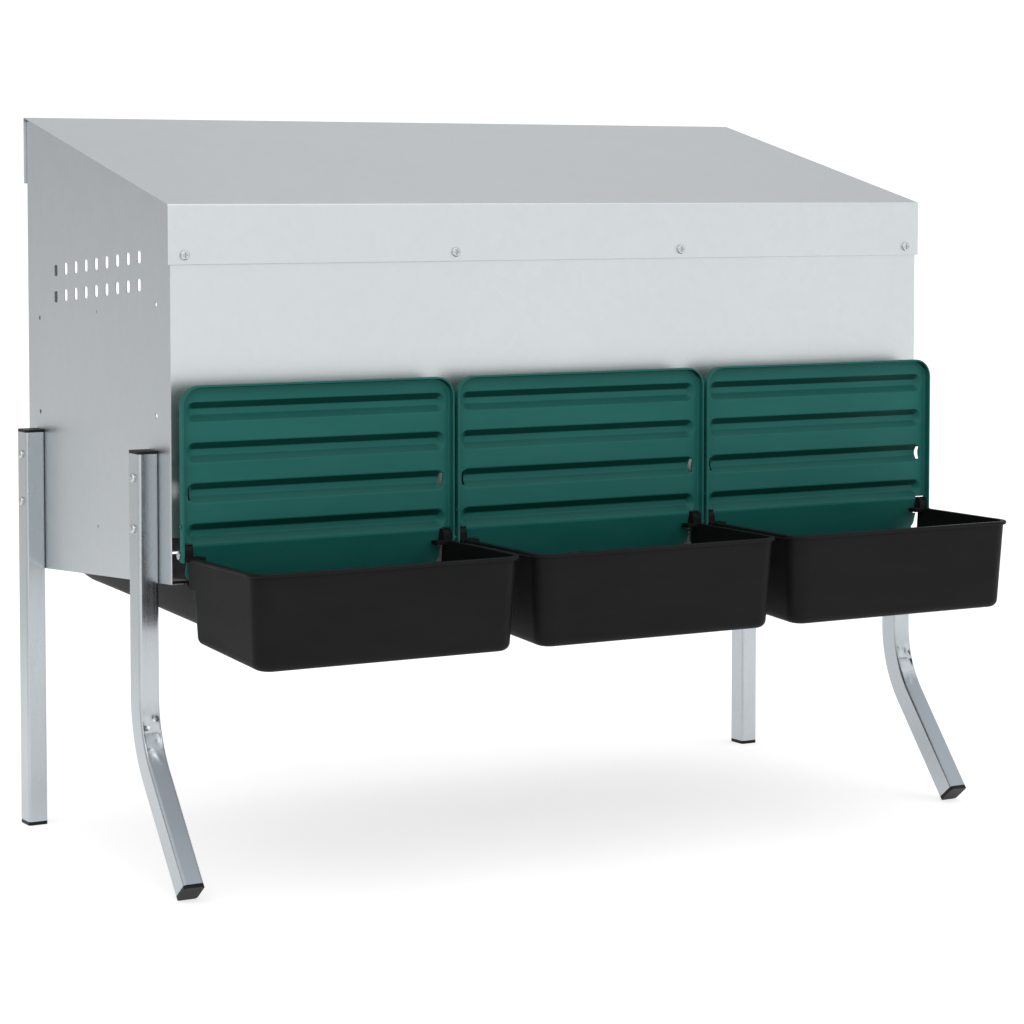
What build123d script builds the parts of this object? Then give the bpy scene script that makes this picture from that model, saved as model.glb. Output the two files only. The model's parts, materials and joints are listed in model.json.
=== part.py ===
"""Roll-away laying nest with three compartments, on four legs.

Millimetres, +Z up.  X runs along the row of nests, the eggs are collected at the
front (-Y) and the hens go in at the open rear (+Y).  The model is drawn with y = 0
on the front sheet and moved to the middle of its own footprint when it is written.
"""
import os
from math import atan, cos, degrees, radians, sin, tan

from build123d import *

# Body: folded sheet metal
BODY_W = 930.0                  # over the two side panels
BODY_D = 389.0                  # front sheet to rear flanges
SHEET = 1.0
FOLD_R = 2.0
NEST_PITCH = 312.0              # one compartment to the next
NESTS = (-NEST_PITCH, 0.0, NEST_PITCH)
PARTITION_X = NEST_PITCH / 2

ROOF_FRONT_Z = 684.5            # front fold, outside
ROOF_REAR_Z = 779.0             # rear fold, outside
ROOF_OVERHANG = 3.0             # past each side panel
ROOF_FACE_Y = -2.0              # outer face of the front drop, which laps over the front sheet
ROOF_FRONT_DROP = 60.0
ROOF_REAR_DROP = 73.0

SIDE_BOTTOM_REAR_Z = 281.0      # the lower edge climbs towards the front
SIDE_BOTTOM_FRONT_Z = 305.0
FRONT_SHEET_BOTTOM_Z = 352.0
FRONT_FLANGE = 18.0
REAR_FLANGE = 36.0
TRAY_FLANGE = 13.0              # inward fold that carries a tray's rim
RELIEF = (4.0, 26.0)            # corner relief where side, front and roof meet

SLOT_COUNT = 9
SLOT_SIZE = (9.5, 12.5)
SLOT_PITCH = 28.4
SLOT_ROWS = ((305.0, 612.0), (305.5, 583.6))    # rearmost slot of each row: y, z
SLOT_CLIMB = 4.7                                # degrees, up towards the front
FRONT_HOLES = ((36.0, 584.0), (36.0, 472.0))
REAR_HOLES = ((354.0, 559.0), (354.0, 456.0))
SIDE_HOLE_R = 2.75
PILOT_HOLES = ((191.0, 571.5), (192.0, 345.0))
PILOT_R = 1.5

# Screws
SCREW_R = 2.0
SCREW_HOLE_R = 2.1
SCREW_HEAD_R = 5.0
SCREW_HEAD_H = 2.6
SCREW_LENGTH = 12.0
FRONT_SCREW_X = (-450.0, -141.0, 141.0, 450.0)
FRONT_SCREW_Z = 634.0
REAR_SCREW_X = (-446.0, 446.0)
REAR_SCREW_Z = 742.0
SILL_SCREW_X = (-446.0, -149.5, 149.5, 446.0)
SILL_SCREW_Z = 318.0
SILL_TOP_Z = 334.0

# Legs: rectangular steel tube outside the side panels
TUBE = (22.0, 26.0)
TUBE_WALL = 1.5
TUBE_R = 3.0
LEG_TOP_Z = 434.0
CAP_H = 3.0
FOOT_H = 4.0
CAP_PLUG = 10.0
FRONT_LEG_Y = 44.5
REAR_LEG_Y = 355.0
LEG_SLANT = 39.0                # degrees from vertical, below the bend
LEG_CORNER_Z = 144.8            # where the two centre lines meet
LEG_BEND_R = 127.0
BOLT_Z = (409.5, 358.0)
BOLT_R = 2.5
BOLT_HOLE_R = 2.6
BOLT_HEAD_R = 4.6
BOLT_HEAD_H = 3.2
NUT_ACROSS = 8.0
NUT_H = 4.0

# Nest tray: one moulding, a sloping nest pan that runs out into an egg tray
WALL = 2.5
PAN_RIM_HALF = 151.5
PAN_TOP_HALF = 137.0
PAN_BOTTOM_HALF = 123.0
PAN_TOP_Y = 330.0
PAN_BOTTOM_Y = 296.0
PAN_RIM_Y = 380.0
PAN_FLOOR = (258.2, 3.25)       # height of its underside at y = -24 and degrees of rise to the rear
EGG_REAR_Y = -24.0
EGG_TOP = (146.0, -183.0, 19.0)     # half width, front y, front corner radius
EGG_BOTTOM = (140.7, -177.7, 17.0)
EGG_REAR_R = 12.0
EGG_RIM_Z = 335.0
EGG_FLOOR = (249.0, 3.8)        # height at y = -24 and degrees of fall to the front
EGG_LIP = 3.0                   # how far the rim stands out
EGG_LIP_H = 4.0
EGG_LIP_R = 1.5
EGG_EDGE_R = 8.0
CHEEK_REAR_Y = -22.0            # rear end of the egg tray's side walls, above the neck
NECK_Z = 302.0                  # upper edge of the walls between pan and egg tray
RIM_GAP = 131.0                 # half width of the gap in the egg tray's rim, at the rear
KNUCKLE = (142.0, 151.5)        # hinge bosses that carry the lid's pins, from and to in x
KNUCKLE_R = 6.0                 # its rounded top, centred above the pin
KNUCKLE_TOP_Z = 347.0

# Lid: shallow ribbed tray, drawn standing open
HINGE_Y = -21.5
HINGE_Z = 336.5
LID_HALF = 154.0
LID_TOP_Z = 505.5
LID_FOOT_Z = 330.0
LID_PANEL_Z = 348.0             # lower edge of the ribbed panel above the knuckles
LID_FRONT_Y = -30.0
LID_BACK_Y = -20.0
LID_WALL = 2.0
LID_CORNER_R = 20.0
LUG_R = 5.2                     # rounded lug behind each foot, around the pin
APRON = (140.0, 309.0, -9.0, 10.0)      # half width, lower edge z, its back y, corner radius
APRON_SKIRT = (144.0, 328.0)    # half width and upper edge z of its wider lower part
APRON_BEND_Z = 344.5
GROOVE_PITCH = 40.4
GROOVE_Z = [478.8 - i * GROOVE_PITCH for i in range(4)]
GROOVE = (294.0, 20.5, 6.0, 10.0)       # length, height, depth, end radius
GROOVE_SKIN = 1.6
GROOVE_TAPER = 51.0             # degrees, the slope of its sides from square
GROOVE_BLEND_R = 3.0            # where a groove's sides meet the panel and its own floor
LID_EDGE_R = (0.9, 3.0, 2.0)    # free rim, outside of the back, inside of the back
NOTCHED_GROOVE = 2              # the one with slots through its ends
NOTCH = (3.5, 14.0)             # width, height
NOTCH_X = 144.5                 # its outer edge
NUB_Z = 366.0
PIN_R = 2.5
PIN_RUN = 0.06                  # radial running clearance in the lid
PIN_HEAD = (3.7, 1.5)           # radius, thickness

HALF = BODY_W / 2
ROOF_TOP_Y = BODY_D + SHEET
ROOF_SLOPE = (ROOF_REAR_Z - ROOF_FRONT_Z) / (ROOF_TOP_Y - ROOF_FACE_Y)
BOTTOM_SLOPE = (SIDE_BOTTOM_FRONT_Z - SIDE_BOTTOM_REAR_Z) / BODY_D
TRAY_FRONT_Y = EGG_TOP[1] - EGG_LIP
REAR_Y = ROOF_TOP_Y + SCREW_HEAD_H
FRONT_Y = -(TRAY_FRONT_Y + REAR_Y) / 2


def box(x0, x1, y0, y1, z0, z1):
    """A block given by its limits."""
    size = Box(x1 - x0, y1 - y0, z1 - z0)
    return Pos((x0 + x1) / 2, (y0 + y1) / 2, (z0 + z1) / 2) * size


def side_plate(points, x0, x1):
    """A polygon in Y and Z, thickened along X."""
    outline = make_face(Polyline(*points, close=True))
    return Pos(x0, 0, 0) * extrude(Plane.YZ * outline, x1 - x0)


def rod_x(y, z, radius, x0, x1):
    """A cylinder along X."""
    return Pos((x0 + x1) / 2, y, z) * Rot(0, 90, 0) * Cylinder(radius, x1 - x0)


def rod_y(x, z, radius, y0, y1):
    """A cylinder along Y."""
    return Pos(x, (y0 + y1) / 2, z) * Rot(90, 0, 0) * Cylinder(radius, y1 - y0)


def folded(points, side):
    """The cross-section of a folded sheet whose outer face follows the points."""
    line = FilletPolyline(*points, radius=FOLD_R)
    return make_face(offset(line, amount=SHEET, side=side))


def roof_under(y):
    """Height of the roof's underside at y."""
    return ROOF_FRONT_Z + (y - ROOF_FACE_Y) * ROOF_SLOPE - SHEET / cos(atan(ROOF_SLOPE))


def side_bottom(y):
    """Height of a side panel's lower edge at y."""
    return SIDE_BOTTOM_FRONT_Z - y * BOTTOM_SLOPE


def write(name, *solids):
    """Write one node, moved so that the whole object's footprint is centred."""
    placed = [Pos(0, FRONT_Y, 0) * solid for solid in solids]
    node = placed[0] if len(placed) == 1 else Compound(children=placed)
    export_step(node, os.path.join("parts", name + ".step"))


def roof():
    """One sheet, folded down at the front and at the rear."""
    section = folded(
        [
            (ROOF_FACE_Y, ROOF_FRONT_Z - ROOF_FRONT_DROP),
            (ROOF_FACE_Y, ROOF_FRONT_Z),
            (ROOF_TOP_Y, ROOF_REAR_Z),
            (ROOF_TOP_Y, ROOF_REAR_Z - ROOF_REAR_DROP),
        ],
        Side.RIGHT,
    )
    reach = HALF + ROOF_OVERHANG
    sheet = Pos(-reach, 0, 0) * extrude(Plane.YZ * section, 2 * reach)
    for x in FRONT_SCREW_X:
        sheet -= rod_y(x, FRONT_SCREW_Z, SCREW_HOLE_R, -5, 5)
    for x in REAR_SCREW_X:
        sheet -= rod_y(x, REAR_SCREW_Z, SCREW_HOLE_R, BODY_D - 5, BODY_D + 5)
    return sheet


def vent_slots():
    """Both rows of ventilation slots, as cutters through the left panel."""
    width, height = SLOT_SIZE
    slots = []
    for rear_y, rear_z in SLOT_ROWS:
        for i in range(SLOT_COUNT):
            y = rear_y - i * SLOT_PITCH
            z = rear_z + i * SLOT_PITCH * tan(radians(SLOT_CLIMB))
            slot = extrude(Plane.YZ * RectangleRounded(width, height, width * 0.3), 10, both=True)
            slots.append(Pos(-HALF, y, z) * slot)
    return slots


def left_side():
    """Side panel with folds at the front, the rear and the bottom."""
    section = folded(
        [
            (-HALF + FRONT_FLANGE, SHEET),
            (-HALF, SHEET),
            (-HALF, BODY_D),
            (-HALF + REAR_FLANGE, BODY_D),
        ],
        Side.RIGHT,
    )
    column = Pos(0, 0, SIDE_BOTTOM_REAR_Z - 5) * extrude(section, ROOF_REAR_Z - SIDE_BOTTOM_REAR_Z)
    outline = [
        (0, side_bottom(0)),
        (0, roof_under(0)),
        (BODY_D, roof_under(BODY_D)),
        (BODY_D, side_bottom(BODY_D)),
    ]
    panel = column & side_plate(outline, -HALF - 1, -HALF + REAR_FLANGE + 1)
    fold_end = -HALF + FRONT_FLANGE + 1
    panel -= box(-HALF + SHEET, fold_end, 0, 10, 0, FRONT_SHEET_BOTTOM_Z)
    relief_y, relief_z = RELIEF
    panel -= box(-HALF - 1, fold_end, 0, relief_y, roof_under(0) - relief_z, ROOF_REAR_Z)
    inner = -HALF + TRAY_FLANGE
    shelf = [
        (SHEET, side_bottom(SHEET)),
        (BODY_D - SHEET, side_bottom(BODY_D - SHEET)),
        (BODY_D - SHEET, side_bottom(BODY_D - SHEET) + SHEET),
        (SHEET, side_bottom(SHEET) + SHEET),
    ]
    panel += side_plate(shelf, -HALF + SHEET / 2, inner)
    for slot in vent_slots():
        panel -= slot
    for y, z in FRONT_HOLES + REAR_HOLES:
        panel -= rod_x(y, z, SIDE_HOLE_R, -HALF - 5, -HALF + 5)
    for y, z in PILOT_HOLES:
        panel -= rod_x(y, z, PILOT_R, -HALF - 5, -HALF + 5)
    for y in (FRONT_LEG_Y, REAR_LEG_Y):
        for z in BOLT_Z:
            panel -= rod_x(y, z, BOLT_HOLE_R, -HALF - 5, -HALF + 5)
    panel -= rod_y(FRONT_SCREW_X[0], FRONT_SCREW_Z, SCREW_HOLE_R, -5, 8)
    panel -= rod_y(REAR_SCREW_X[0], REAR_SCREW_Z, SCREW_HOLE_R, BODY_D - 8, BODY_D + 5)
    panel -= rod_y(SILL_SCREW_X[0], SILL_SCREW_Z, SCREW_HOLE_R, BODY_D - 8, BODY_D + 5)
    return panel


def front_sheet():
    """Front sheet with a hem folded back along its lower edge."""
    hem = 12.0
    section = folded(
        [
            (0, roof_under(0) - 1),
            (0, FRONT_SHEET_BOTTOM_Z),
            (hem, FRONT_SHEET_BOTTOM_Z),
        ],
        Side.LEFT,
    )
    sheet = Pos(-HALF, 0, 0) * extrude(Plane.YZ * section, BODY_W)
    for end in (-1, 1):
        x0, x1 = sorted((end * (HALF + 1), end * (HALF - FRONT_FLANGE - 2)))
        sheet -= box(x0, x1, SHEET, hem + 1, FRONT_SHEET_BOTTOM_Z - 1, FRONT_SHEET_BOTTOM_Z + 9)
        x0, x1 = sorted((end * (PARTITION_X + 2), end * (PARTITION_X - 32)))
        sheet -= box(x0, x1, SHEET, hem + 1, FRONT_SHEET_BOTTOM_Z - 1, FRONT_SHEET_BOTTOM_Z + 9)
    for x in FRONT_SCREW_X:
        sheet -= rod_y(x, FRONT_SCREW_Z, SCREW_HOLE_R, -5, 5)
    return sheet


def left_partition():
    """Wall between two compartments, folded at the front, the rear and the bottom."""
    x = -PARTITION_X
    rear = BODY_D - 2 * SHEET
    section = folded(
        [
            (x + 28, SHEET),
            (x - SHEET / 2, SHEET),
            (x - SHEET / 2, rear),
            (x + 12, rear),
        ],
        Side.RIGHT,
    )
    column = Pos(0, 0, SIDE_BOTTOM_REAR_Z - 5) * extrude(section, ROOF_REAR_Z - SIDE_BOTTOM_REAR_Z)
    gap = 4.0
    outline = [
        (0, side_bottom(0)),
        (0, roof_under(0) - gap),
        (BODY_D, roof_under(BODY_D) - gap),
        (BODY_D, side_bottom(BODY_D)),
    ]
    wall = column & side_plate(outline, x - 1, x + 29)
    wall -= box(x + SHEET / 2, x + 30, 0, 10, 0, FRONT_SHEET_BOTTOM_Z)
    shelf = [
        (SHEET, side_bottom(SHEET)),
        (rear - SHEET, side_bottom(rear - SHEET)),
        (rear - SHEET, side_bottom(rear - SHEET) + SHEET),
        (SHEET, side_bottom(SHEET) + SHEET),
    ]
    wall += side_plate(shelf, x - TRAY_FLANGE, x)
    wall -= rod_y(FRONT_SCREW_X[1], FRONT_SCREW_Z, SCREW_HOLE_R, -5, 8)
    wall -= rod_y(SILL_SCREW_X[1], SILL_SCREW_Z, SCREW_HOLE_R, rear - 8, rear + 5)
    return wall


def left_rail():
    """Angle on the inner face of a partition: it carries the middle tray's rim."""
    x = -PARTITION_X + SHEET / 2
    front, rear = 6.0, BODY_D - 8.0
    foot = [
        (front, side_bottom(front)),
        (rear, side_bottom(rear)),
        (rear, side_bottom(rear) + SHEET),
        (front, side_bottom(front) + SHEET),
    ]
    web = [
        (front, side_bottom(front)),
        (rear, side_bottom(rear)),
        (rear, side_bottom(rear) + 22),
        (front, side_bottom(front) + 22),
    ]
    return side_plate(foot, x, x + TRAY_FLANGE) + side_plate(web, x, x + SHEET)


def rear_sill():
    """Cross member under the hens' entrances, with a rolled-in upper edge."""
    reach = HALF - SHEET - FOLD_R
    rear = BODY_D - SHEET
    section = folded(
        [
            (rear, side_bottom(BODY_D) + 5.5),
            (rear, SILL_TOP_Z),
            (rear - 14, SILL_TOP_Z),
            (rear - 14, SILL_TOP_Z - 8),
        ],
        Side.LEFT,
    )
    sill = Pos(-reach, 0, 0) * extrude(Plane.YZ * section, 2 * reach)
    for side in (-1, 1):
        x = side * PARTITION_X
        clear = 2.0
        x0, x1 = sorted((x - side * 14, x + side * clear))
        sill -= box(x0, x1, rear - 20, rear - SHEET, SILL_TOP_Z - 12, SILL_TOP_Z + 1)
    for x in SILL_SCREW_X:
        sill -= rod_y(x, SILL_SCREW_Z, SCREW_HOLE_R, rear - 5, rear + 5)
    return sill


def screw(x, z, face_y, facing):
    """Pan-head cross-recess screw; facing -1 puts its head on the front."""
    head_y = sorted((face_y, face_y + facing * SCREW_HEAD_H))
    head = rod_y(x, z, SCREW_HEAD_R, *head_y)
    outer = head.faces().sort_by(Axis.Y)[0 if facing < 0 else -1]
    head = fillet(outer.edges(), SCREW_HEAD_H * 0.6)
    shank_y = sorted((face_y, face_y - facing * SCREW_LENGTH))
    body = head + rod_y(x, z, SCREW_R, *shank_y)
    top = face_y + facing * SCREW_HEAD_H
    bottom = face_y + facing * 0.9
    y0, y1 = sorted((top + facing, bottom))
    body -= box(x - 2.6, x + 2.6, y0, y1, z - 0.5, z + 0.5)
    body -= box(x - 0.5, x + 0.5, y0, y1, z - 2.6, z + 2.6)
    return body


def tube_section(shrink=0.0):
    """Cross-section of the leg tube, or of what fits inside it."""
    width, depth = TUBE
    return RectangleRounded(width - 2 * shrink, depth - 2 * shrink, max(TUBE_R - shrink, 1.0))


def leg_x():
    """Centre line of the left legs."""
    return -HALF - TUBE[0] / 2


def bolt_cutters(y):
    """Both bolt holes of one leg."""
    x = leg_x()
    return [rod_x(y, z, BOLT_HOLE_R, x - TUBE[0], x + TUBE[0]) for z in BOLT_Z]


def rear_leg():
    """Straight tube."""
    section = tube_section() - tube_section(TUBE_WALL)
    tube = Pos(leg_x(), REAR_LEG_Y, FOOT_H) * extrude(section, LEG_TOP_Z - FOOT_H)
    for cutter in bolt_cutters(REAR_LEG_Y):
        tube -= cutter
    return tube


def foot_plane():
    """Plane of a front foot's sole, looking back up the slanted tube."""
    slant = radians(LEG_SLANT)
    half_depth = TUBE[1] / 2
    sole_z = half_depth * sin(slant)
    sole_y = FRONT_LEG_Y - (LEG_CORNER_Z - sole_z) * tan(slant)
    up = (0, sin(slant), cos(slant))
    return Plane(origin=(leg_x(), sole_y, sole_z), x_dir=(1, 0, 0), z_dir=up)


def front_leg():
    """Tube bent forward below the trays."""
    end = foot_plane().offset(FOOT_H).origin
    x = leg_x()
    path = FilletPolyline(
        (x, FRONT_LEG_Y, LEG_TOP_Z),
        (x, FRONT_LEG_Y, LEG_CORNER_Z),
        (x, end.Y, end.Z),
        radius=LEG_BEND_R,
    )
    start = Plane(origin=(x, FRONT_LEG_Y, LEG_TOP_Z), x_dir=(1, 0, 0), z_dir=(0, 0, -1))
    outer = sweep(start * tube_section(), path)
    inner = sweep(start * tube_section(TUBE_WALL), path)
    tube = outer - inner
    for cutter in bolt_cutters(FRONT_LEG_Y):
        tube -= cutter
    return tube


def plug(plane, height):
    """Plastic end plug: a head the size of the tube and a spigot inside it."""
    head = extrude(plane * tube_section(), height)
    spigot = extrude(plane.offset(height) * tube_section(TUBE_WALL + 0.2), CAP_PLUG)
    return head + spigot


def top_cap(y):
    """Plug in the upper end of a leg."""
    plane = Plane(origin=(leg_x(), y, LEG_TOP_Z + CAP_H), x_dir=(1, 0, 0), z_dir=(0, 0, -1))
    return plug(plane, CAP_H)


def rear_foot():
    """Plug in the lower end of a rear leg."""
    return plug(Plane(origin=(leg_x(), REAR_LEG_Y, 0)), FOOT_H)


def front_foot():
    """Plug in the slanted end of a front leg; its rear edge meets the floor."""
    return plug(foot_plane(), FOOT_H)


def leg_bolt(y, z):
    """Domed bolt from outside a left leg through to the inside of the panel."""
    face = -HALF - TUBE[0]
    head = rod_x(y, z, BOLT_HEAD_R, face - BOLT_HEAD_H, face)
    crown = head.faces().sort_by(Axis.X)[0]
    head = fillet(crown.edges(), BOLT_HEAD_H * 0.75)
    return head + rod_x(y, z, BOLT_R, face, -HALF + SHEET + NUT_H + 2)


def leg_nut(y, z):
    """Hexagon nut inside the left side panel."""
    x = -HALF + SHEET
    hexagon = RegularPolygon(NUT_ACROSS / 2, 6, major_radius=False)
    nut = Pos(x, y, z) * extrude(Plane.YZ * hexagon, NUT_H)
    return nut - rod_x(y, z, BOLT_R, x - 1, x + NUT_H + 1)


def cup_section(half, front, rear, front_r, rear_r, y, z, tilt):
    """Rounded outline on a plane through (y, z) that rises tilt degrees to the front."""
    normal = (0, sin(radians(tilt)), cos(radians(tilt)))
    plane = Plane(origin=(0, y, z), x_dir=(1, 0, 0), z_dir=normal)
    outline = Pos(0, (front + rear) / 2 - y) * Rectangle(2 * half, rear - front)
    corners = outline.vertices().group_by(Axis.Y)
    outline = fillet(corners[0], front_r)
    corners = outline.vertices().group_by(Axis.Y)
    outline = fillet(corners[-1], rear_r)
    return plane * outline


def egg_cup(inset, raise_floor, edge_r):
    """Solid egg tray shape, or its inside when inset by the wall."""
    floor_z, floor_fall = EGG_FLOOR
    half, front, front_r = EGG_TOP
    top = cup_section(
        half - inset, front + inset, EGG_REAR_Y - inset, front_r - inset, EGG_REAR_R - inset,
        EGG_REAR_Y, EGG_RIM_Z, 0,
    )
    half, front, front_r = EGG_BOTTOM
    bottom = cup_section(
        half - inset, front + inset, EGG_REAR_Y - 2 - inset, front_r - inset, EGG_REAR_R - inset,
        EGG_REAR_Y, floor_z + raise_floor, -floor_fall,
    )
    cup = loft([bottom, top])
    return fillet(cup.faces().sort_by(Axis.Z)[0].edges(), edge_r)


def pan_cup(inset, raise_floor, edge_r):
    """Solid nest pan shape, cut off where it meets the egg tray."""
    overrun = -80.0
    floor_z, floor_rise = PAN_FLOOR
    tilt = degrees(atan(BOTTOM_SLOPE))
    top = cup_section(
        PAN_TOP_HALF - inset, overrun, PAN_TOP_Y - inset, 20, 30 - inset,
        0, side_bottom(0) + SHEET + WALL, tilt,
    )
    bottom = cup_section(
        PAN_BOTTOM_HALF - inset, overrun, PAN_BOTTOM_Y - inset, 20, 26 - inset,
        EGG_REAR_Y, floor_z + raise_floor, -floor_rise,
    )
    cup = loft([bottom, top])
    return fillet(cup.faces().sort_by(Axis.Z)[0].edges(), edge_r)


def tray_rim():
    """Flat rim that rests on the folds of the side panels and partitions."""
    low = side_bottom(0) + SHEET
    drop = PAN_RIM_Y * BOTTOM_SLOPE
    profile = [
        (0, low),
        (PAN_RIM_Y, low - drop),
        (PAN_RIM_Y, low - drop + WALL),
        (0, low + WALL),
    ]
    return side_plate(profile, -PAN_RIM_HALF, PAN_RIM_HALF)


def hinge_knuckle(side):
    """Boss on a rear corner of the egg tray's rim, for one hinge pin."""
    x0, x1 = sorted((side * KNUCKLE[0], side * KNUCKLE[1]))
    front, rear = HINGE_Y - KNUCKLE_R, HINGE_Y + KNUCKLE_R
    middle = KNUCKLE_TOP_Z - KNUCKLE_R
    low = EGG_RIM_Z - EGG_LIP_H
    boss = box(x0, x1, front, rear, low, middle) + rod_x(HINGE_Y, middle, KNUCKLE_R, x0, x1)
    x0, x1 = sorted((side * RIM_GAP, side * KNUCKLE[1]))
    return boss + box(x0, x1, front - 6, EGG_REAR_Y + EGG_LIP, low, EGG_RIM_Z)


def egg_cheek(side):
    """Straight rear end of an egg tray's side wall, between the neck and the rim."""
    high = EGG_RIM_Z - EGG_LIP_H
    narrowing = (EGG_TOP[0] - EGG_BOTTOM[0]) / (EGG_RIM_Z - EGG_FLOOR[0])
    top = EGG_TOP[0] - narrowing * EGG_LIP_H
    bottom = top - narrowing * (high - NECK_Z)
    outline = [
        (side * top, high),
        (side * (top - WALL), high),
        (side * (bottom - WALL), NECK_Z),
        (side * bottom, NECK_Z),
    ]
    front = EGG_REAR_Y - EGG_REAR_R
    face = make_face(Polyline(*outline, close=True))
    return Pos(0, CHEEK_REAR_Y, 0) * extrude(Plane.XZ * face, CHEEK_REAR_Y - front)


def nest_tray():
    """Nest pan and egg tray in one moulding."""
    half, front, front_r = EGG_TOP
    lip_face = cup_section(
        half + EGG_LIP, front - EGG_LIP, EGG_REAR_Y + EGG_LIP, front_r + EGG_LIP,
        EGG_REAR_R + EGG_LIP, EGG_REAR_Y, EGG_RIM_Z, 0,
    )
    lip = extrude(lip_face, -EGG_LIP_H)
    for face in (lip.faces().sort_by(Axis.Z)[-1], lip.faces().sort_by(Axis.Z)[0]):
        lip = fillet([edge for edge in lip.edges() if edge in face.edges()], EGG_LIP_R)
    pan_zone = box(-200, 200, EGG_REAR_Y - 1, 400, 200, 400)
    open_zone = box(-200, 200, EGG_REAR_Y - 8, 400, 200, 400)
    shell = pan_cup(0, 0, 12) & pan_zone
    shell += egg_cup(0, 0, EGG_EDGE_R) + lip
    shell -= box(-200, 200, EGG_REAR_Y - EGG_REAR_R, 0, NECK_Z, EGG_RIM_Z - EGG_LIP_H)
    shell += tray_rim()
    shell -= egg_cup(WALL, WALL, EGG_EDGE_R - WALL)
    shell -= pan_cup(WALL, WALL, 12 - WALL) & open_zone
    shell -= box(-RIM_GAP, RIM_GAP, EGG_REAR_Y - 8, 0, NECK_Z, EGG_RIM_Z + 1)
    for side in (-1, 1):
        shell += egg_cheek(side) + hinge_knuckle(side)
        shell -= rod_x(HINGE_Y, HINGE_Z, PIN_R, *sorted((side * (KNUCKLE[0] + 1), side * LID_HALF)))
    return shell


def lid_outline(inset, low):
    """Front view of a lid: square feet and rounded upper corners."""
    half = LID_HALF - inset
    high = LID_TOP_Z - inset
    face = Pos(0, (low + high) / 2) * Rectangle(2 * half, high - low)
    return fillet(face.vertices().group_by(Axis.Y)[-1], LID_CORNER_R - inset)


def lid_slab(inset, low, y0, y1):
    """The lid's outline thickened along Y."""
    return Pos(0, y1, 0) * extrude(Plane.XZ * lid_outline(inset, low), y1 - y0)


def groove(z, skin):
    """One pressed groove, as a tapered block; the skin makes the outside of it."""
    length, height, depth, end_r = GROOVE
    start = LID_BACK_Y - LID_WALL
    plane = Plane(origin=(0, start, z), x_dir=(1, 0, 0), z_dir=(0, 1, 0))
    mouth = RectangleRounded(length + 2 * skin, height + 2 * skin, end_r + skin)
    block = extrude(plane * mouth, depth + skin, taper=GROOVE_TAPER)
    return fillet(block.faces().sort_by(Axis.Y)[-1].edges(), GROOVE_BLEND_R)


def face_at(solid, y):
    """The solid's largest face square to Y at y."""
    flat = [face for face in solid.faces() if abs(face.center().Y - y) < 0.01]
    return max(flat, key=lambda face: face.area)


def above_feet(edges):
    """The edges that don't lie on the ends of a lid's feet."""
    return [edge for edge in edges if edge.center().Z > LID_FOOT_Z + 0.1]


def lid_dish():
    """The lid's panel and flanges with its grooves and rounded edges, before the feet are cut."""
    rim_r, outer_r, inner_r = LID_EDGE_R
    panel_y = LID_BACK_Y - LID_WALL
    shell = lid_slab(0, LID_FOOT_Z, LID_FRONT_Y, LID_BACK_Y)
    shell = fillet(above_feet(face_at(shell, LID_BACK_Y).edges()), outer_r)
    shell = fillet(above_feet(face_at(shell, LID_FRONT_Y).edges()), rim_r)
    hollow = lid_slab(LID_WALL, LID_FOOT_Z - 1, LID_FRONT_Y - 1, panel_y)
    hollow = fillet(above_feet(face_at(hollow, panel_y).edges()), inner_r)
    for z in GROOVE_Z:
        shell += groove(z, GROOVE_SKIN)
    shell -= hollow
    for z in GROOVE_Z:
        shell -= groove(z, 0)
    mouths = [edge for wire in face_at(shell, panel_y).inner_wires() for edge in wire.edges()]
    return fillet(mouths, GROOVE_BLEND_R)


def lid_apron():
    """Skirt below the ribbed panel that leans back over the egg passage."""
    half, low, back, corner_r = APRON
    face = LID_BACK_Y - LID_WALL
    profile = [
        (face, APRON_BEND_Z),
        (LID_BACK_Y, APRON_BEND_Z),
        (back, low),
        (back - LID_WALL, low),
    ]
    skirt_half, skirt_z = APRON_SKIRT
    outline = Pos(0, (low + APRON_BEND_Z) / 2) * Rectangle(2 * half, APRON_BEND_Z - low)
    outline += Pos(0, (low + skirt_z) / 2) * Rectangle(2 * skirt_half, skirt_z - low)
    outline = fillet(outline.vertices().group_by(Axis.Y)[0], corner_r)
    plate = side_plate(profile, -skirt_half, skirt_half)
    return plate & extrude(Plane.XZ * outline, 40, both=True)


def lid():
    """Ribbed shallow tray that stands open and folds forward over the egg tray."""
    inner = LID_HALF - LID_WALL
    low = LID_FOOT_Z - 1
    shell = lid_dish()
    shell -= box(-inner, inner, LID_FRONT_Y, 0, low, APRON_BEND_Z)
    shell += lid_apron()
    notch_w, notch_h = NOTCH
    notch_z = GROOVE_Z[NOTCHED_GROOVE]
    for side in (-1, 1):
        x0, x1 = sorted((side * APRON[0], side * inner))
        shell -= box(x0, x1, LID_FRONT_Y, 0, low, LID_PANEL_Z)
        x0, x1 = sorted((side * NOTCH_X, side * (NOTCH_X - notch_w)))
        shell -= box(x0, x1, -24, 0, notch_z - notch_h / 2, notch_z + notch_h / 2)
        flange_x = sorted((side * inner, side * LID_HALF))
        shell += rod_x(HINGE_Y, HINGE_Z, LUG_R, *flange_x)
        shell -= rod_x(HINGE_Y, HINGE_Z, PIN_R + PIN_RUN, *flange_x)
        shell += rod_x(-25, NUB_Z, 2, *sorted((side * (LID_HALF - 0.5), side * (LID_HALF + 1))))
    return shell


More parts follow.
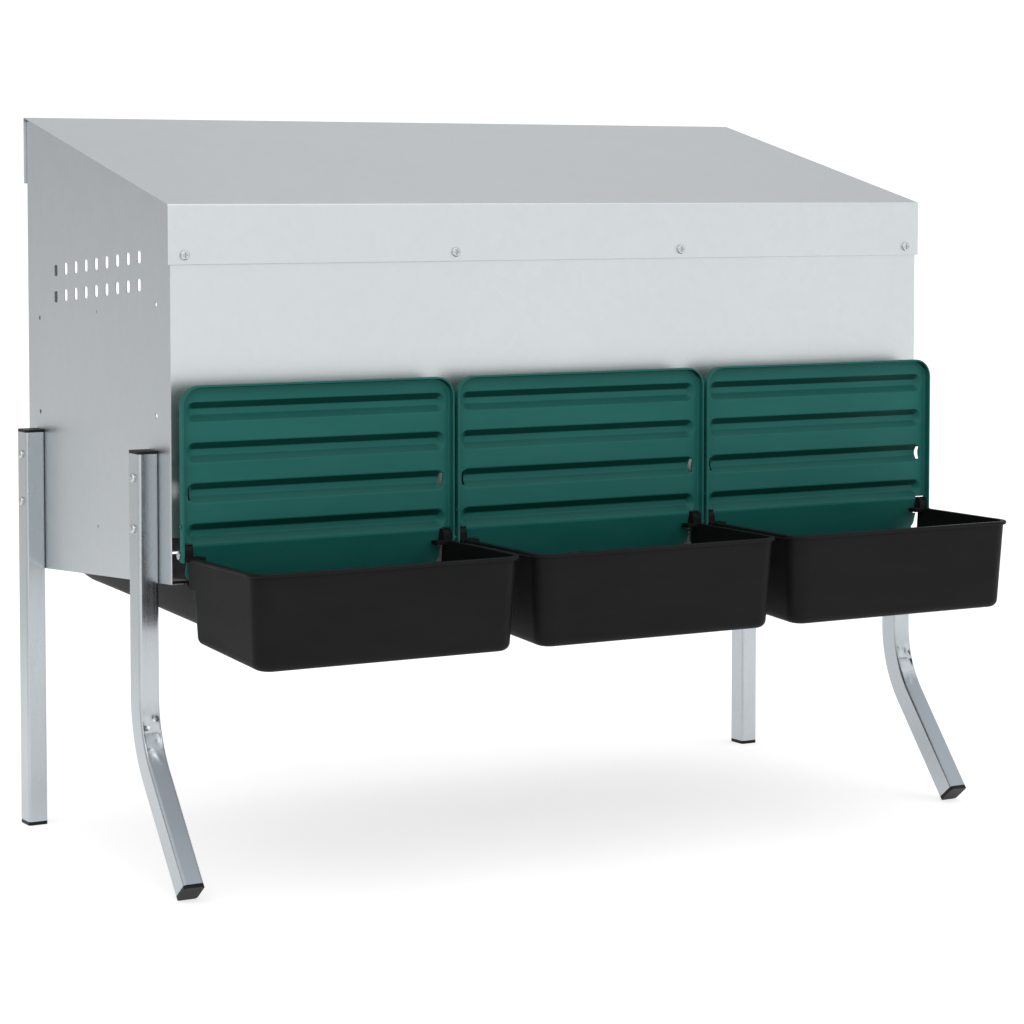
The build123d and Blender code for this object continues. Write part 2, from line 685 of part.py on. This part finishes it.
def hinge_pin(side):
    """Headed pin, pressed into the tray's knuckle."""
    head_r, head_h = PIN_HEAD
    seat = LID_HALF + 0.3
    shank = rod_x(HINGE_Y, HINGE_Z, PIN_R, *sorted((side * (KNUCKLE[0] + 1), side * seat)))
    head = rod_x(HINGE_Y, HINGE_Z, head_r, *sorted((side * seat, side * (seat + head_h))))
    return shank + head


def main():
    os.makedirs("parts", exist_ok=True)
    write("roof_panel", roof())
    side = left_side()
    write("side_panel_left", side)
    write("side_panel_right", mirror(side, about=Plane.YZ))
    write("front_panel", front_sheet())
    wall = left_partition()
    write("partition_left", wall)
    write("partition_right", mirror(wall, about=Plane.YZ))
    rail = left_rail()
    write("tray_rail_left", rail)
    write("tray_rail_right", mirror(rail, about=Plane.YZ))
    write("rear_sill", rear_sill())

    write("roof_screws_front", *[screw(x, FRONT_SCREW_Z, ROOF_FACE_Y, -1) for x in FRONT_SCREW_X])
    write("roof_screws_rear", *[screw(x, REAR_SCREW_Z, ROOF_TOP_Y, 1) for x in REAR_SCREW_X])
    write("sill_screws", *[screw(x, SILL_SCREW_Z, BODY_D, 1) for x in SILL_SCREW_X])

    legs = {
        "leg_front": front_leg(),
        "leg_rear": rear_leg(),
        "leg_cap_front": top_cap(FRONT_LEG_Y),
        "leg_cap_rear": top_cap(REAR_LEG_Y),
        "foot_front": front_foot(),
        "foot_rear": rear_foot(),
    }
    for name, piece in legs.items():
        write(name + "_left", piece)
        write(name + "_right", mirror(piece, about=Plane.YZ))
    spots = [(y, z) for y in (FRONT_LEG_Y, REAR_LEG_Y) for z in BOLT_Z]
    bolts = [leg_bolt(y, z) for y, z in spots]
    nuts = [leg_nut(y, z) for y, z in spots]
    write("leg_bolts", *bolts, *[mirror(bolt, about=Plane.YZ) for bolt in bolts])
    write("leg_nuts", *nuts, *[mirror(nut, about=Plane.YZ) for nut in nuts])

    tray = nest_tray()
    cover = lid()
    pins = [hinge_pin(-1), hinge_pin(1)]
    for number, x in enumerate(NESTS, start=1):
        write(f"nest_tray_{number}", Pos(x, 0, 0) * tray)
        write(f"egg_lid_{number}", Pos(x, 0, 0) * cover)
        write(f"lid_hinge_pins_{number}", *[Pos(x, 0, 0) * pin for pin in pins])


main()
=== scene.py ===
import json
import math

import bmesh
import bpy
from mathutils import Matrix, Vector


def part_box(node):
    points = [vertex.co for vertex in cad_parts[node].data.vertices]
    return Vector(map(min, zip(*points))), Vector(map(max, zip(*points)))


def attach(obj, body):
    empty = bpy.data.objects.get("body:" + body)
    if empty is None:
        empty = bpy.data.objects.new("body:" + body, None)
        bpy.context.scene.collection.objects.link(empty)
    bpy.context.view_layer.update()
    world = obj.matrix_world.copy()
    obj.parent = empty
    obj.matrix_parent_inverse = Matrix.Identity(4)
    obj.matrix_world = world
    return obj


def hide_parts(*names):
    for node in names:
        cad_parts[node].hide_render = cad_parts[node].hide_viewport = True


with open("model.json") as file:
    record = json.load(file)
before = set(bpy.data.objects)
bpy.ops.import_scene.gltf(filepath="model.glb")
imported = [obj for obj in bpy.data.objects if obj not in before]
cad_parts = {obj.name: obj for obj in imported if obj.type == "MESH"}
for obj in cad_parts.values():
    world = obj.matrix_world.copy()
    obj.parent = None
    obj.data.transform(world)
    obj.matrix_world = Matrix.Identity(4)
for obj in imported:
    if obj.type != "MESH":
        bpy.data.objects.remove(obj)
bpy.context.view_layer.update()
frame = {"nodes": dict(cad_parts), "record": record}

# Camera: a long lens at roof height, to the left of the egg trays
CAMERA_OFFSET = (-1.1840, -2.6972)   # from the body's front left corner
CAMERA_HEIGHT = 0.6983
CAMERA_YAW = 30.318          # degrees, to the right of +Y
CAMERA_PITCH = 3.26          # degrees, down
CAMERA_LENS = 103.65
CAMERA_SHIFT = -0.15
SENSOR_WIDTH = 36.0

# Light: levels of the studio's panels, and the floor's own glow
STUDIO_STRENGTH = 1.09
FRONT_LEVEL = 1.0
REAR_LEVEL = 0.465
OVERHEAD_LEVEL = 0.7         # added to the front or rear level
BACKDROP_LEVEL = 0.62        # added where the camera looks
FLOOR_GLOW = 0.66
FLOOR_GLOW_LEFT = 0.3
FLOOR_SIZE = 60
LAMP_POWER = 20

# Bent front legs
TUBE_WIDTH = 0.022
TUBE_DEPTH = 0.026
TUBE_CORNER = 0.003
TUBE_WALL = 0.0015
BORE_SHIFT = 0.0004          # away from the buckled face, for a thicker wall there
BEND_RADIUS = 0.127
BEND_ANGLE = 39.0            # degrees
BEND_CORNER_Z = 0.1448       # where the two centre lines meet
FOOT_PLUG = 0.004
BUCKLED_LENGTH = 0.050       # each way from the middle of the bend
BUCKLED_ROWS = 125
FACE_COLUMNS = 24
CORNER_STEPS = 5
NEARLY_ZERO = 1e-6

# Dents (negative) and bulges on the buckled face, in millimetres: how far each stands out, then
# its middle and reach down the leg from the fold, then its middle and reach across, inward
BUCKLE_MARKS = (
    (-3.0, -11.0, 6.0, -6.0, 5.0),
    (1.7, -13.0, 5.5, 5.5, 4.5),
    (-0.8, 9.0, 3.0, 4.5, 2.6),
    (-0.9, 18.0, 2.2, -6.0, 4.5),
    (-1.2, 27.0, 8.0, -8.0, 4.0),
    (-0.55, -29.0, 5.0, -7.5, 1.8),
    (-0.55, -23.0, 6.5, 2.5, 2.2),
)
FOLD_DEPTH = 3.8
FOLD_BELOW = 17.0            # it runs out this far below its deepest line
FOLD_ABOVE = 3.5             # and much faster above it
CREASE_DEPTH = 1.2
CREASE_REACH = 1.3
RIDGE_HEIGHT = 1.3
BUCKLED_HALF_WIDTH = 10.0    # the marks fade out towards the tube's corners


def make_camera():
    """Camera placed from the body's front left corner."""
    data = bpy.data.cameras.new("camera")
    data.lens = CAMERA_LENS
    data.sensor_width = SENSOR_WIDTH
    data.shift_y = CAMERA_SHIFT
    data.clip_start = 0.05
    data.clip_end = 100.0
    camera = bpy.data.objects.new("camera", data)
    bpy.context.scene.collection.objects.link(camera)
    corner_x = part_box("side_panel_left")[0].x
    corner_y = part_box("front_panel")[0].y
    camera.location = (corner_x + CAMERA_OFFSET[0], corner_y + CAMERA_OFFSET[1], CAMERA_HEIGHT)
    camera.rotation_euler = (math.radians(90 - CAMERA_PITCH), 0, math.radians(-CAMERA_YAW))
    bpy.context.scene.camera = camera


class Graph:
    """A material's node tree with short ways to add and join nodes."""

    def __init__(self, name, tree=None):
        if tree is None:
            self.material = bpy.data.materials.new(name)
            self.material.use_nodes = True
            tree = self.material.node_tree
        self.tree = tree
        self.nodes = tree.nodes

    def link(self, source, target):
        """Joins an output to an input."""
        self.tree.links.new(source, target)

    def value(self, socket, given):
        """Sets a socket to a number or a colour, or joins an output to it."""
        if isinstance(given, bpy.types.NodeSocket):
            self.link(given, socket)
        elif hasattr(given, "__len__") and len(given) == 3 and len(socket.default_value) == 4:
            socket.default_value = (*given, 1.0)
        else:
            socket.default_value = given

    def place(self, scale=(1, 1, 1), turn=(0, 0, 0)):
        """Object-space coordinates, scaled and turned."""
        coordinates = self.nodes.new("ShaderNodeTexCoord")
        mapping = self.nodes.new("ShaderNodeMapping")
        mapping.inputs["Scale"].default_value = scale
        mapping.inputs["Rotation"].default_value = turn
        self.link(coordinates.outputs["Object"], mapping.inputs["Vector"])
        return mapping.outputs["Vector"]

    def axis(self, vector, letter):
        """One of a vector's three parts."""
        parts = self.nodes.new("ShaderNodeSeparateXYZ")
        self.link(vector, parts.inputs["Vector"])
        return parts.outputs[letter]

    def noise(self, vector, scale, detail=4.0, roughness=0.55):
        """Cloudy grey; a bigger scale is finer."""
        node = self.nodes.new("ShaderNodeTexNoise")
        self.link(vector, node.inputs["Vector"])
        node.inputs["Scale"].default_value = scale
        node.inputs["Detail"].default_value = detail
        node.inputs["Roughness"].default_value = roughness
        return node.outputs["Fac"]

    def facing(self):
        """How far a face looks up (1) or down (-1) in the piece's own space."""
        coordinates = self.nodes.new("ShaderNodeTexCoord")
        return self.axis(coordinates.outputs["Normal"], "Z")

    def cells(self, vector, scale):
        """A random grey for each crystal-like cell."""
        node = self.nodes.new("ShaderNodeTexVoronoi")
        self.link(vector, node.inputs["Vector"])
        node.inputs["Scale"].default_value = scale
        grey = self.nodes.new("ShaderNodeSeparateColor")
        self.link(node.outputs["Color"], grey.inputs["Color"])
        return grey.outputs["Red"]

    def span(self, value, low, high, to_low, to_high):
        """Maps a range of values smoothly onto another."""
        node = self.nodes.new("ShaderNodeMapRange")
        node.interpolation_type = "SMOOTHSTEP"
        self.link(value, node.inputs["Value"])
        node.inputs["From Min"].default_value = low
        node.inputs["From Max"].default_value = high
        node.inputs["To Min"].default_value = to_low
        node.inputs["To Max"].default_value = to_high
        return node.outputs["Result"]

    def sum(self, first, second, operation="ADD"):
        """Two numbers added, or put through another operation."""
        node = self.nodes.new("ShaderNodeMath")
        node.operation = operation
        self.value(node.inputs[0], first)
        self.value(node.inputs[1], second)
        return node.outputs["Value"]

    def mix(self, amount, first, second, blend="MIX"):
        """Two colours mixed: an amount of 0 gives the first."""
        node = self.nodes.new("ShaderNodeMix")
        node.data_type = "RGBA"
        node.blend_type = blend
        self.value(node.inputs[0], amount)
        self.value(node.inputs[6], first)
        self.value(node.inputs[7], second)
        return node.outputs[2]

    def bump(self, height, distance, strength=1.0, normal=None):
        """Shading that looks raised by a height, up to a distance."""
        node = self.nodes.new("ShaderNodeBump")
        self.link(height, node.inputs["Height"])
        node.inputs["Distance"].default_value = distance
        node.inputs["Strength"].default_value = strength
        if normal is not None:
            self.link(normal, node.inputs["Normal"])
        return node.outputs["Normal"]

    def rounded_edges(self, radius):
        """Shading that softens sharp edges."""
        node = self.nodes.new("ShaderNodeBevel")
        node.samples = 6
        node.inputs["Radius"].default_value = radius
        return node.outputs["Normal"]

    def shade(self, **inputs):
        """Sets the principled shader's inputs; underscores stand for spaces."""
        shader = self.nodes["Principled BSDF"]
        for name, given in inputs.items():
            self.value(shader.inputs[name.replace("_", " ")], given)
        return self.material


def galvanised_sheet():
    """Zinc-coated sheet: faint spangle, rolling streaks and cloudy gloss."""
    g = Graph("galvanised_sheet")
    spangle = g.cells(g.place(), 95.0)
    cloud = g.noise(g.place(), 5.0)
    streaks = g.noise(g.place((1.0, 14.0, 14.0)), 22.0, 3.0)
    tint = g.mix(g.span(spangle, 0.0, 1.0, 0.0, 1.0), (0.585, 0.62, 0.635), (0.60, 0.635, 0.65))
    colour = g.mix(g.span(cloud, 0.3, 0.7, 0.0, 0.35), tint, (0.565, 0.60, 0.62))
    gloss = g.sum(g.span(cloud, 0.3, 0.7, 0.34, 0.38), g.span(spangle, 0.0, 1.0, 0.0, 0.02))
    relief = g.sum(g.span(streaks, 0.2, 0.8, 0.0, 0.8), g.span(spangle, 0.0, 1.0, 0.0, 0.15))
    normal = g.bump(relief, 0.00005, 0.2, g.rounded_edges(0.0007))
    return g.shade(Base_Color=colour, Metallic=1.0, Roughness=gloss, Normal=normal)


def zinc_tube():
    """Bright zinc-plated tube with drawn lines and dull patches.

    Faces that lean upwards, as the front of a bent leg does near its foot, are rougher and less
    metallic, and carry painted shade in their colour, darker and bluer, with painted light close
    to the fold.
    """
    g = Graph("zinc_tube")
    lines = g.noise(g.place((60.0, 60.0, 1.2)), 12.0, 3.0)
    cloud = g.noise(g.place(), 16.0)
    tint = g.mix(g.span(cloud, 0.3, 0.7, 0.0, 1.0), (0.455, 0.49, 0.515), (0.495, 0.525, 0.55))
    gloss = g.sum(g.span(cloud, 0.3, 0.7, 0.22, 0.29), g.span(lines, 0.3, 0.7, 0.0, 0.04))
    # Painted light and shade on faces that look up: their colour is painted darker and bluer low
    # down and paler close to the fold
    sloping = g.span(g.facing(), 0.32, 0.58, 0.0, 1.0)
    near_fold = g.span(g.axis(g.place(), "Z"), 0.128, 0.140, 0.0, 1.0)
    painted_slope_shading = g.mix(near_fold, (0.33, 0.37, 0.41), (0.60, 0.65, 0.69))
    colour = g.mix(sloping, tint, painted_slope_shading)
    gloss = g.sum(gloss, g.sum(sloping, 0.22, "MULTIPLY"))
    metal = g.span(sloping, 0.0, 1.0, 1.0, 0.35)
    normal = g.bump(lines, 0.00004, 0.12)
    return g.shade(Base_Color=colour, Metallic=metal, Roughness=gloss, Normal=normal)


def zinc_screws():
    """Small plated parts, slightly uneven."""
    g = Graph("zinc_screws")
    fine = g.noise(g.place(), 420.0)
    tint = g.mix(g.span(fine, 0.3, 0.7, 0.0, 1.0), (0.46, 0.48, 0.50), (0.58, 0.60, 0.62))
    gloss = g.span(fine, 0.3, 0.7, 0.18, 0.32)
    normal = g.bump(fine, 0.00005, 0.4, g.rounded_edges(0.0004))
    return g.shade(Base_Color=tint, Metallic=1.0, Roughness=gloss, Normal=normal)


def moulded_plastic(name, dark, light, gloss, grain, level, edge, shadow=None):
    """Moulded plastic: fine grain, faint flow marks and slight rubbing.

    Its colour varies from dark to light; grain is the scale of the fine noise, level the
    strength of its shine and edge the radius of its softened edges, in metres.
    A shadow darkens what looks down by that factor, and what looks up a little.
    """
    g = Graph(name)
    fine = g.noise(g.place(), grain, 2.0)
    flow = g.noise(g.place((2.0, 2.0, 7.0)), 6.0)
    rub = g.noise(g.place(), 38.0, 6.0, 0.7)
    tint = g.mix(g.span(flow, 0.3, 0.7, 0.0, 1.0), dark, light)
    tint = g.mix(g.span(rub, 0.62, 0.8, 0.0, 0.12), tint, [min(1.0, 1.9 * c) for c in light])
    rough = g.sum(g.span(flow, 0.3, 0.7, gloss, gloss + 0.06), g.span(rub, 0.55, 0.8, 0.0, 0.06))
    normal = g.bump(fine, 0.00006, 0.35, g.rounded_edges(edge))
    if shadow:
        under = g.span(g.facing(), -0.6, -0.38, shadow, 1.0)
        over = g.span(g.facing(), 0.35, 0.6, 1.0, 0.75)
        tint = g.mix(1.0, tint, g.sum(under, over, "MULTIPLY"), "MULTIPLY")
    return g.shade(
        Base_Color=tint, Roughness=rough, Normal=normal, Specular_IOR_Level=level,
    )


def paint_frame():
    """Gives every CAD node the finish of its material slot."""
    looks = {
        "galvanised_sheet": galvanised_sheet(),
        "zinc_tube": zinc_tube(),
        "zinc_screws": zinc_screws(),
        "green_plastic": moulded_plastic(
            "green_plastic", dark=(0.009, 0.100, 0.087), light=(0.012, 0.110, 0.095),
            gloss=0.42, grain=1400.0, level=0.13, edge=0.0008, shadow=0.35,
        ),
        "black_plastic": moulded_plastic(
            "black_plastic", dark=(0.005, 0.005, 0.0052), light=(0.007, 0.007, 0.0073),
            gloss=0.48, grain=900.0, level=0.10, edge=0.0008,
        ),
        "black_caps": moulded_plastic(
            "black_caps", dark=(0.005, 0.005, 0.005), light=(0.008, 0.008, 0.008),
            gloss=0.45, grain=1200.0, level=0.2, edge=0.0005,
        ),
    }
    for part in frame["record"]["subparts"]:
        node = frame["nodes"][part["node"]]
        node.data.materials.clear()
        node.data.materials.append(looks[part["material_slot"]])
    return looks


def bell(value, centre, width):
    """A smooth hump of height 1."""
    return math.exp(-(((value - centre) / width) ** 2))


def buckle(s, u):
    """How far the inner face of a bend stands out, in millimetres: s down the leg, u inward."""
    if s > 0:
        fold = -FOLD_DEPTH * (1.0 - min(1.0, s / FOLD_BELOW))
    else:
        fold = -FOLD_DEPTH * math.exp(s / FOLD_ABOVE)
    height = fold - CREASE_DEPTH * math.exp(-abs(s) / CREASE_REACH)
    height += RIDGE_HEIGHT * bell(u, 0.3 * (s - 22.0), 3.0) * bell(s, 25.0, 8.5)
    for depth, s_middle, s_reach, u_middle, u_reach in BUCKLE_MARKS:
        height += depth * bell(s, s_middle, s_reach) * bell(u, u_middle, u_reach)
    edge = 1.0 - min(1.0, abs(u) / BUCKLED_HALF_WIDTH) ** 4
    return edge * height


def tube_ring(width, depth, corner):
    """Outline of a tube: its inner-bend face in fine columns, then the rest."""
    points = []
    half_w, half_d = width / 2, depth / 2
    flat = half_w - corner
    for i in range(FACE_COLUMNS + 1):
        points.append((-flat + 2 * flat * i / FACE_COLUMNS, -half_d))
    turns = [(flat, -half_d + corner, -90), (flat, half_d - corner, 0),
             (-flat, half_d - corner, 90), (-flat, -half_d + corner, 180)]
    for x, y, start in turns:
        for i in range(CORNER_STEPS + 1):
            angle = math.radians(start + 90.0 * i / CORNER_STEPS)
            point = (x + corner * math.cos(angle), y + corner * math.sin(angle))
            if min(math.dist(point, points[-1]), math.dist(point, points[0])) > NEARLY_ZERO:
                points.append(point)
    return points


def leg_stations(top, end):
    """Distances down a front leg's centre line, close together round the bend."""
    angle = math.radians(BEND_ANGLE)
    tangent = BEND_RADIUS * math.tan(angle / 2)
    arc = BEND_RADIUS * angle
    straight = top - BEND_CORNER_Z - tangent
    total = straight + arc + (BEND_CORNER_Z - end) / math.cos(angle) - tangent
    middle = straight + arc / 2
    stations = [0.0, middle - BUCKLED_LENGTH]
    for i in range(1, BUCKLED_ROWS + 1):
        stations.append(middle - BUCKLED_LENGTH + 2 * BUCKLED_LENGTH * i / BUCKLED_ROWS)
    stations.append(total)
    return stations, straight, arc, middle


def leg_frame(distance, straight, arc, top, y):
    """Centre point and the direction of lean, in radians, at a distance down the leg."""
    lean = min(max((distance - straight) / BEND_RADIUS, 0.0), arc / BEND_RADIUS)
    drop = min(distance, straight) + BEND_RADIUS * math.sin(lean)
    forward = BEND_RADIUS * (1 - math.cos(lean))
    past = max(distance - straight - arc, 0.0)
    point = (y - forward - past * math.sin(lean), top - drop - past * math.cos(lean))
    return point, lean


def buckle_push(distance, middle, inward):
    """How far the buckled face is pushed out, in metres, fading to nothing at its ends."""
    s = 1000 * (distance - middle)
    fade = max(0.0, 1 - abs(s) / (1000 * BUCKLED_LENGTH)) ** 0.3
    return 0.001 * fade * buckle(s, 1000 * inward)


def leg_skin(mesh, inset, shift, x, y, top, sole, outward):
    """Rows of points down a front leg, on its outside or, when it is inset, in its bore."""
    depth = TUBE_DEPTH - 2 * inset
    ring = tube_ring(TUBE_WIDTH - 2 * inset, depth, TUBE_CORNER - inset)
    stations, straight, arc, middle = leg_stations(top, sole)
    rows = []
    for distance in stations:
        (centre_y, centre_z), lean = leg_frame(distance, straight, arc, top, y)
        row = []
        for across, along in ring:
            out = along + shift
            if along < -depth / 2 + NEARLY_ZERO:
                out -= buckle_push(distance, middle, -outward * across)
            row.append(mesh.verts.new((
                x + across,
                centre_y + out * math.cos(lean),
                centre_z - out * math.sin(lean),
            )))
        rows.append(row)
    return rows


def join_rings(mesh, a, b):
    """A band of faces between two rings of points."""
    for i in range(len(a)):
        j = (i + 1) % len(a)
        mesh.faces.new((a[i], a[j], b[j], b[i]))


def bent_leg(side, look):
    """The bent front leg again, with its inner face buckled as a bent tube's is."""
    node = "leg_front_" + side
    low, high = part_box(node)
    x = (low.x + high.x) / 2
    y = high.y - TUBE_DEPTH / 2
    angle = math.radians(BEND_ANGLE)
    sole = TUBE_DEPTH / 2 * math.sin(angle) + FOOT_PLUG * math.cos(angle)
    outward = -1 if side == "left" else 1
    mesh = bmesh.new()
    outside = leg_skin(mesh, 0.0, 0.0, x, y, high.z, sole, outward)
    bore = leg_skin(mesh, TUBE_WALL, BORE_SHIFT, x, y, high.z, sole, outward)
    for rows in (outside, bore):
        for upper, lower in zip(rows, rows[1:]):
            join_rings(mesh, upper, lower)
    for end in (0, -1):
        join_rings(mesh, outside[end], bore[end])
    bmesh.ops.recalc_face_normals(mesh, faces=mesh.faces)
    for face in mesh.faces:
        face.smooth = True
    data = bpy.data.meshes.new("bent_leg_" + side)
    mesh.to_mesh(data)
    mesh.free()
    data.materials.append(look)
    leg = bpy.data.objects.new("bent_leg_" + side, data)
    bpy.context.scene.collection.objects.link(leg)
    leg.modifiers.new("even_shading", "WEIGHTED_NORMAL")
    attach(leg, "nest_box")
    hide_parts(node)


def area_light(name, place, target, size, power):
    """A soft light that faces a point."""
    data = bpy.data.lights.new(name, "AREA")
    data.shape = "RECTANGLE"
    data.size, data.size_y = size
    data.energy = power
    light = bpy.data.objects.new(name, data)
    bpy.context.scene.collection.objects.link(light)
    light.location = place
    direction = Vector(target) - Vector(place)
    light.rotation_euler = direction.to_track_quat("-Z", "Y").to_euler()


def make_world():
    """A studio: white in front, greyer behind, brighter overhead and where the camera looks."""
    world = bpy.data.worlds.new("studio")
    world.use_nodes = True
    g = Graph("studio", world.node_tree)
    direction = g.nodes.new("ShaderNodeTexCoord").outputs["Generated"]
    sides = g.span(g.axis(direction, "Y"), -0.55, 0.25, FRONT_LEVEL, REAR_LEVEL)
    overhead = g.span(g.axis(direction, "Z"), 0.55, 0.95, 0.0, OVERHEAD_LEVEL)
    ahead = g.nodes.new("ShaderNodeVectorMath")
    ahead.operation = "DOT_PRODUCT"
    g.link(direction, ahead.inputs[0])
    yaw = math.radians(CAMERA_YAW)
    ahead.inputs[1].default_value = (math.sin(yaw), math.cos(yaw), 0.02)
    backdrop = g.span(ahead.outputs["Value"], 0.90, 0.965, 0.0, BACKDROP_LEVEL)
    level = g.sum(g.sum(sides, overhead), backdrop)
    colour = g.mix(level, (0.0, 0.0, 0.0), (1.0, 1.0, 1.0))
    background = g.nodes["Background"]
    g.link(colour, background.inputs["Color"])
    background.inputs["Strength"].default_value = STUDIO_STRENGTH
    bpy.context.scene.world = world


def make_floor():
    """Wide pale floor that glows a little, less so beyond the left edge of the view."""
    bpy.ops.mesh.primitive_plane_add(size=FLOOR_SIZE, location=(0, 0, 0))
    floor = bpy.context.object
    floor.name = "floor"
    g = Graph("floor_white")
    mottle = g.noise(g.place(), 3.0)
    colour = g.mix(g.span(mottle, 0.3, 0.7, 0.0, 1.0), (0.50, 0.50, 0.50), (0.53, 0.53, 0.53))
    view_edge = math.radians(CAMERA_YAW) - math.atan(SENSOR_WIDTH / 2 / CAMERA_LENS)
    across = g.axis(g.place(turn=(0, 0, view_edge)), "X")
    glow = g.span(across, -1.9, -0.9, FLOOR_GLOW_LEFT, FLOOR_GLOW)
    floor.data.materials.append(g.shade(
        Base_Color=colour, Roughness=0.9, Specular_IOR_Level=0.0,
        Emission_Color=(1.0, 1.0, 1.0), Emission_Strength=glow,
    ))


make_camera()
make_world()
make_floor()
area_light("key_light", (-2.0, -3.2, 2.8), (0, 0, 0.3), (2.4, 1.8), LAMP_POWER)
area_light("top_light", (0.3, -0.4, 3.4), (0, 0, 0), (4.0, 3.0), LAMP_POWER)
finishes = paint_frame()
for hand in ("left", "right"):
    bent_leg(hand, finishes["zinc_tube"])
bpy.context.scene.view_settings.view_transform = "Standard"
